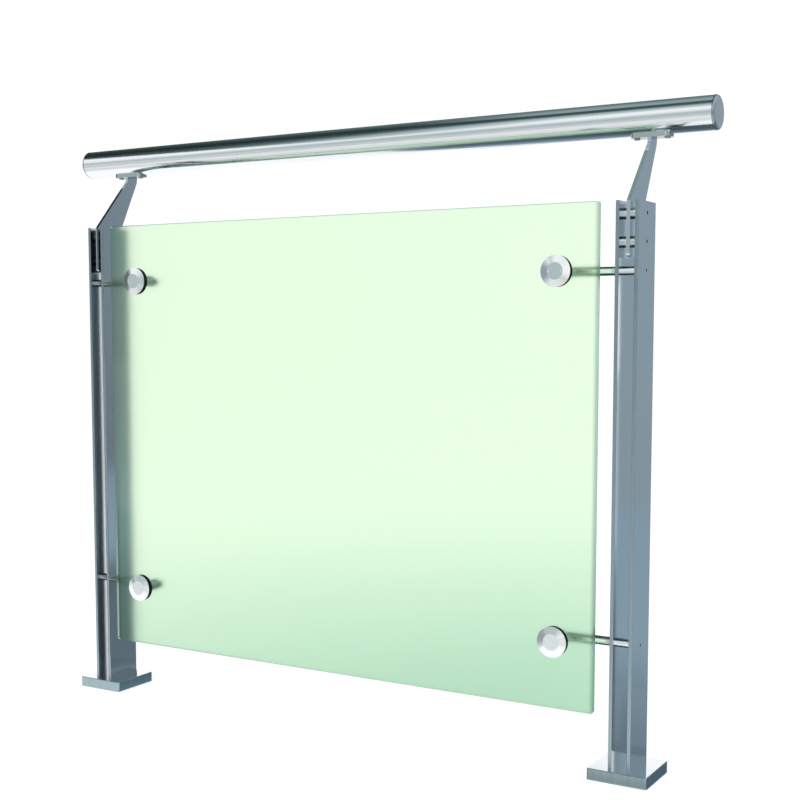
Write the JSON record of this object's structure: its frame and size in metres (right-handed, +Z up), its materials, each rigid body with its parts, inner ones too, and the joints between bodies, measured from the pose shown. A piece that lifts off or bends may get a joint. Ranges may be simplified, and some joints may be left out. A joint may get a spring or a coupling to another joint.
{
  "type": "glass balustrade panel",
  "caption": "Frosted glass balustrade panel held by point fixings on rods between twin-bar steel posts, with a round handrail on swept-back brackets.",
  "frame": {"origin": "on the floor, midway between the posts and at the middle of the posts' depth", "axes": "+X along the handrail to the right as seen from the glass side, +Y away from the glass side towards the handrail, +Z up"},
  "size_m": [1.293, 0.1505, 1.0665],
  "materials": {
    "polished_steel": "polished stainless steel",
    "frosted_glass": "satin frosted, pale green",
    "gasket_rubber": "matt black",
    "bush_nylon": "plain"
  },
  "bodies": {
    "root": {"base_plate_left": "polished_steel", "base_plate_right": "polished_steel", "bracket_bolts_left": "polished_steel", "bracket_bolts_right": "polished_steel", "bracket_sleeves_left": "polished_steel", "bracket_sleeves_right": "polished_steel", "front_gasket_lower_left": "gasket_rubber", "front_gasket_lower_right": "gasket_rubber", "front_gasket_upper_left": "gasket_rubber", "front_gasket_upper_right": "gasket_rubber", "glass_bush_lower_left": "bush_nylon", "glass_bush_lower_right": "bush_nylon", "glass_bush_upper_left": "bush_nylon", "glass_bush_upper_right": "bush_nylon", "glass_cap_lower_left": "polished_steel", "glass_cap_lower_right": "polished_steel", "glass_cap_upper_left": "polished_steel", "glass_cap_upper_right": "polished_steel", "glass_panel": "frosted_glass", "glass_rod_lower_left": "polished_steel", "glass_rod_lower_right": "polished_steel", "glass_rod_upper_left": "polished_steel", "glass_rod_upper_right": "polished_steel", "handrail_bracket_left": "polished_steel", "handrail_bracket_right": "polished_steel", "handrail_end_cap_left": "polished_steel", "handrail_end_cap_right": "polished_steel", "handrail_saddle_left": "polished_steel", "handrail_saddle_right": "polished_steel", "handrail_tube": "polished_steel", "post_inner_bar_left": "polished_steel", "post_inner_bar_right": "polished_steel", "post_outer_bar_left": "polished_steel", "post_outer_bar_right": "polished_steel", "rear_gasket_lower_left": "gasket_rubber", "rear_gasket_lower_right": "gasket_rubber", "rear_gasket_upper_left": "gasket_rubber", "rear_gasket_upper_right": "gasket_rubber", "rod_screws_left": "polished_steel", "rod_screws_right": "polished_steel", "saddle_screws_left": "polished_steel", "saddle_screws_right": "polished_steel", "standoff_lower_left": "polished_steel", "standoff_lower_right": "polished_steel", "standoff_upper_left": "polished_steel", "standoff_upper_right": "polished_steel"}
  },
  "joints": []
}
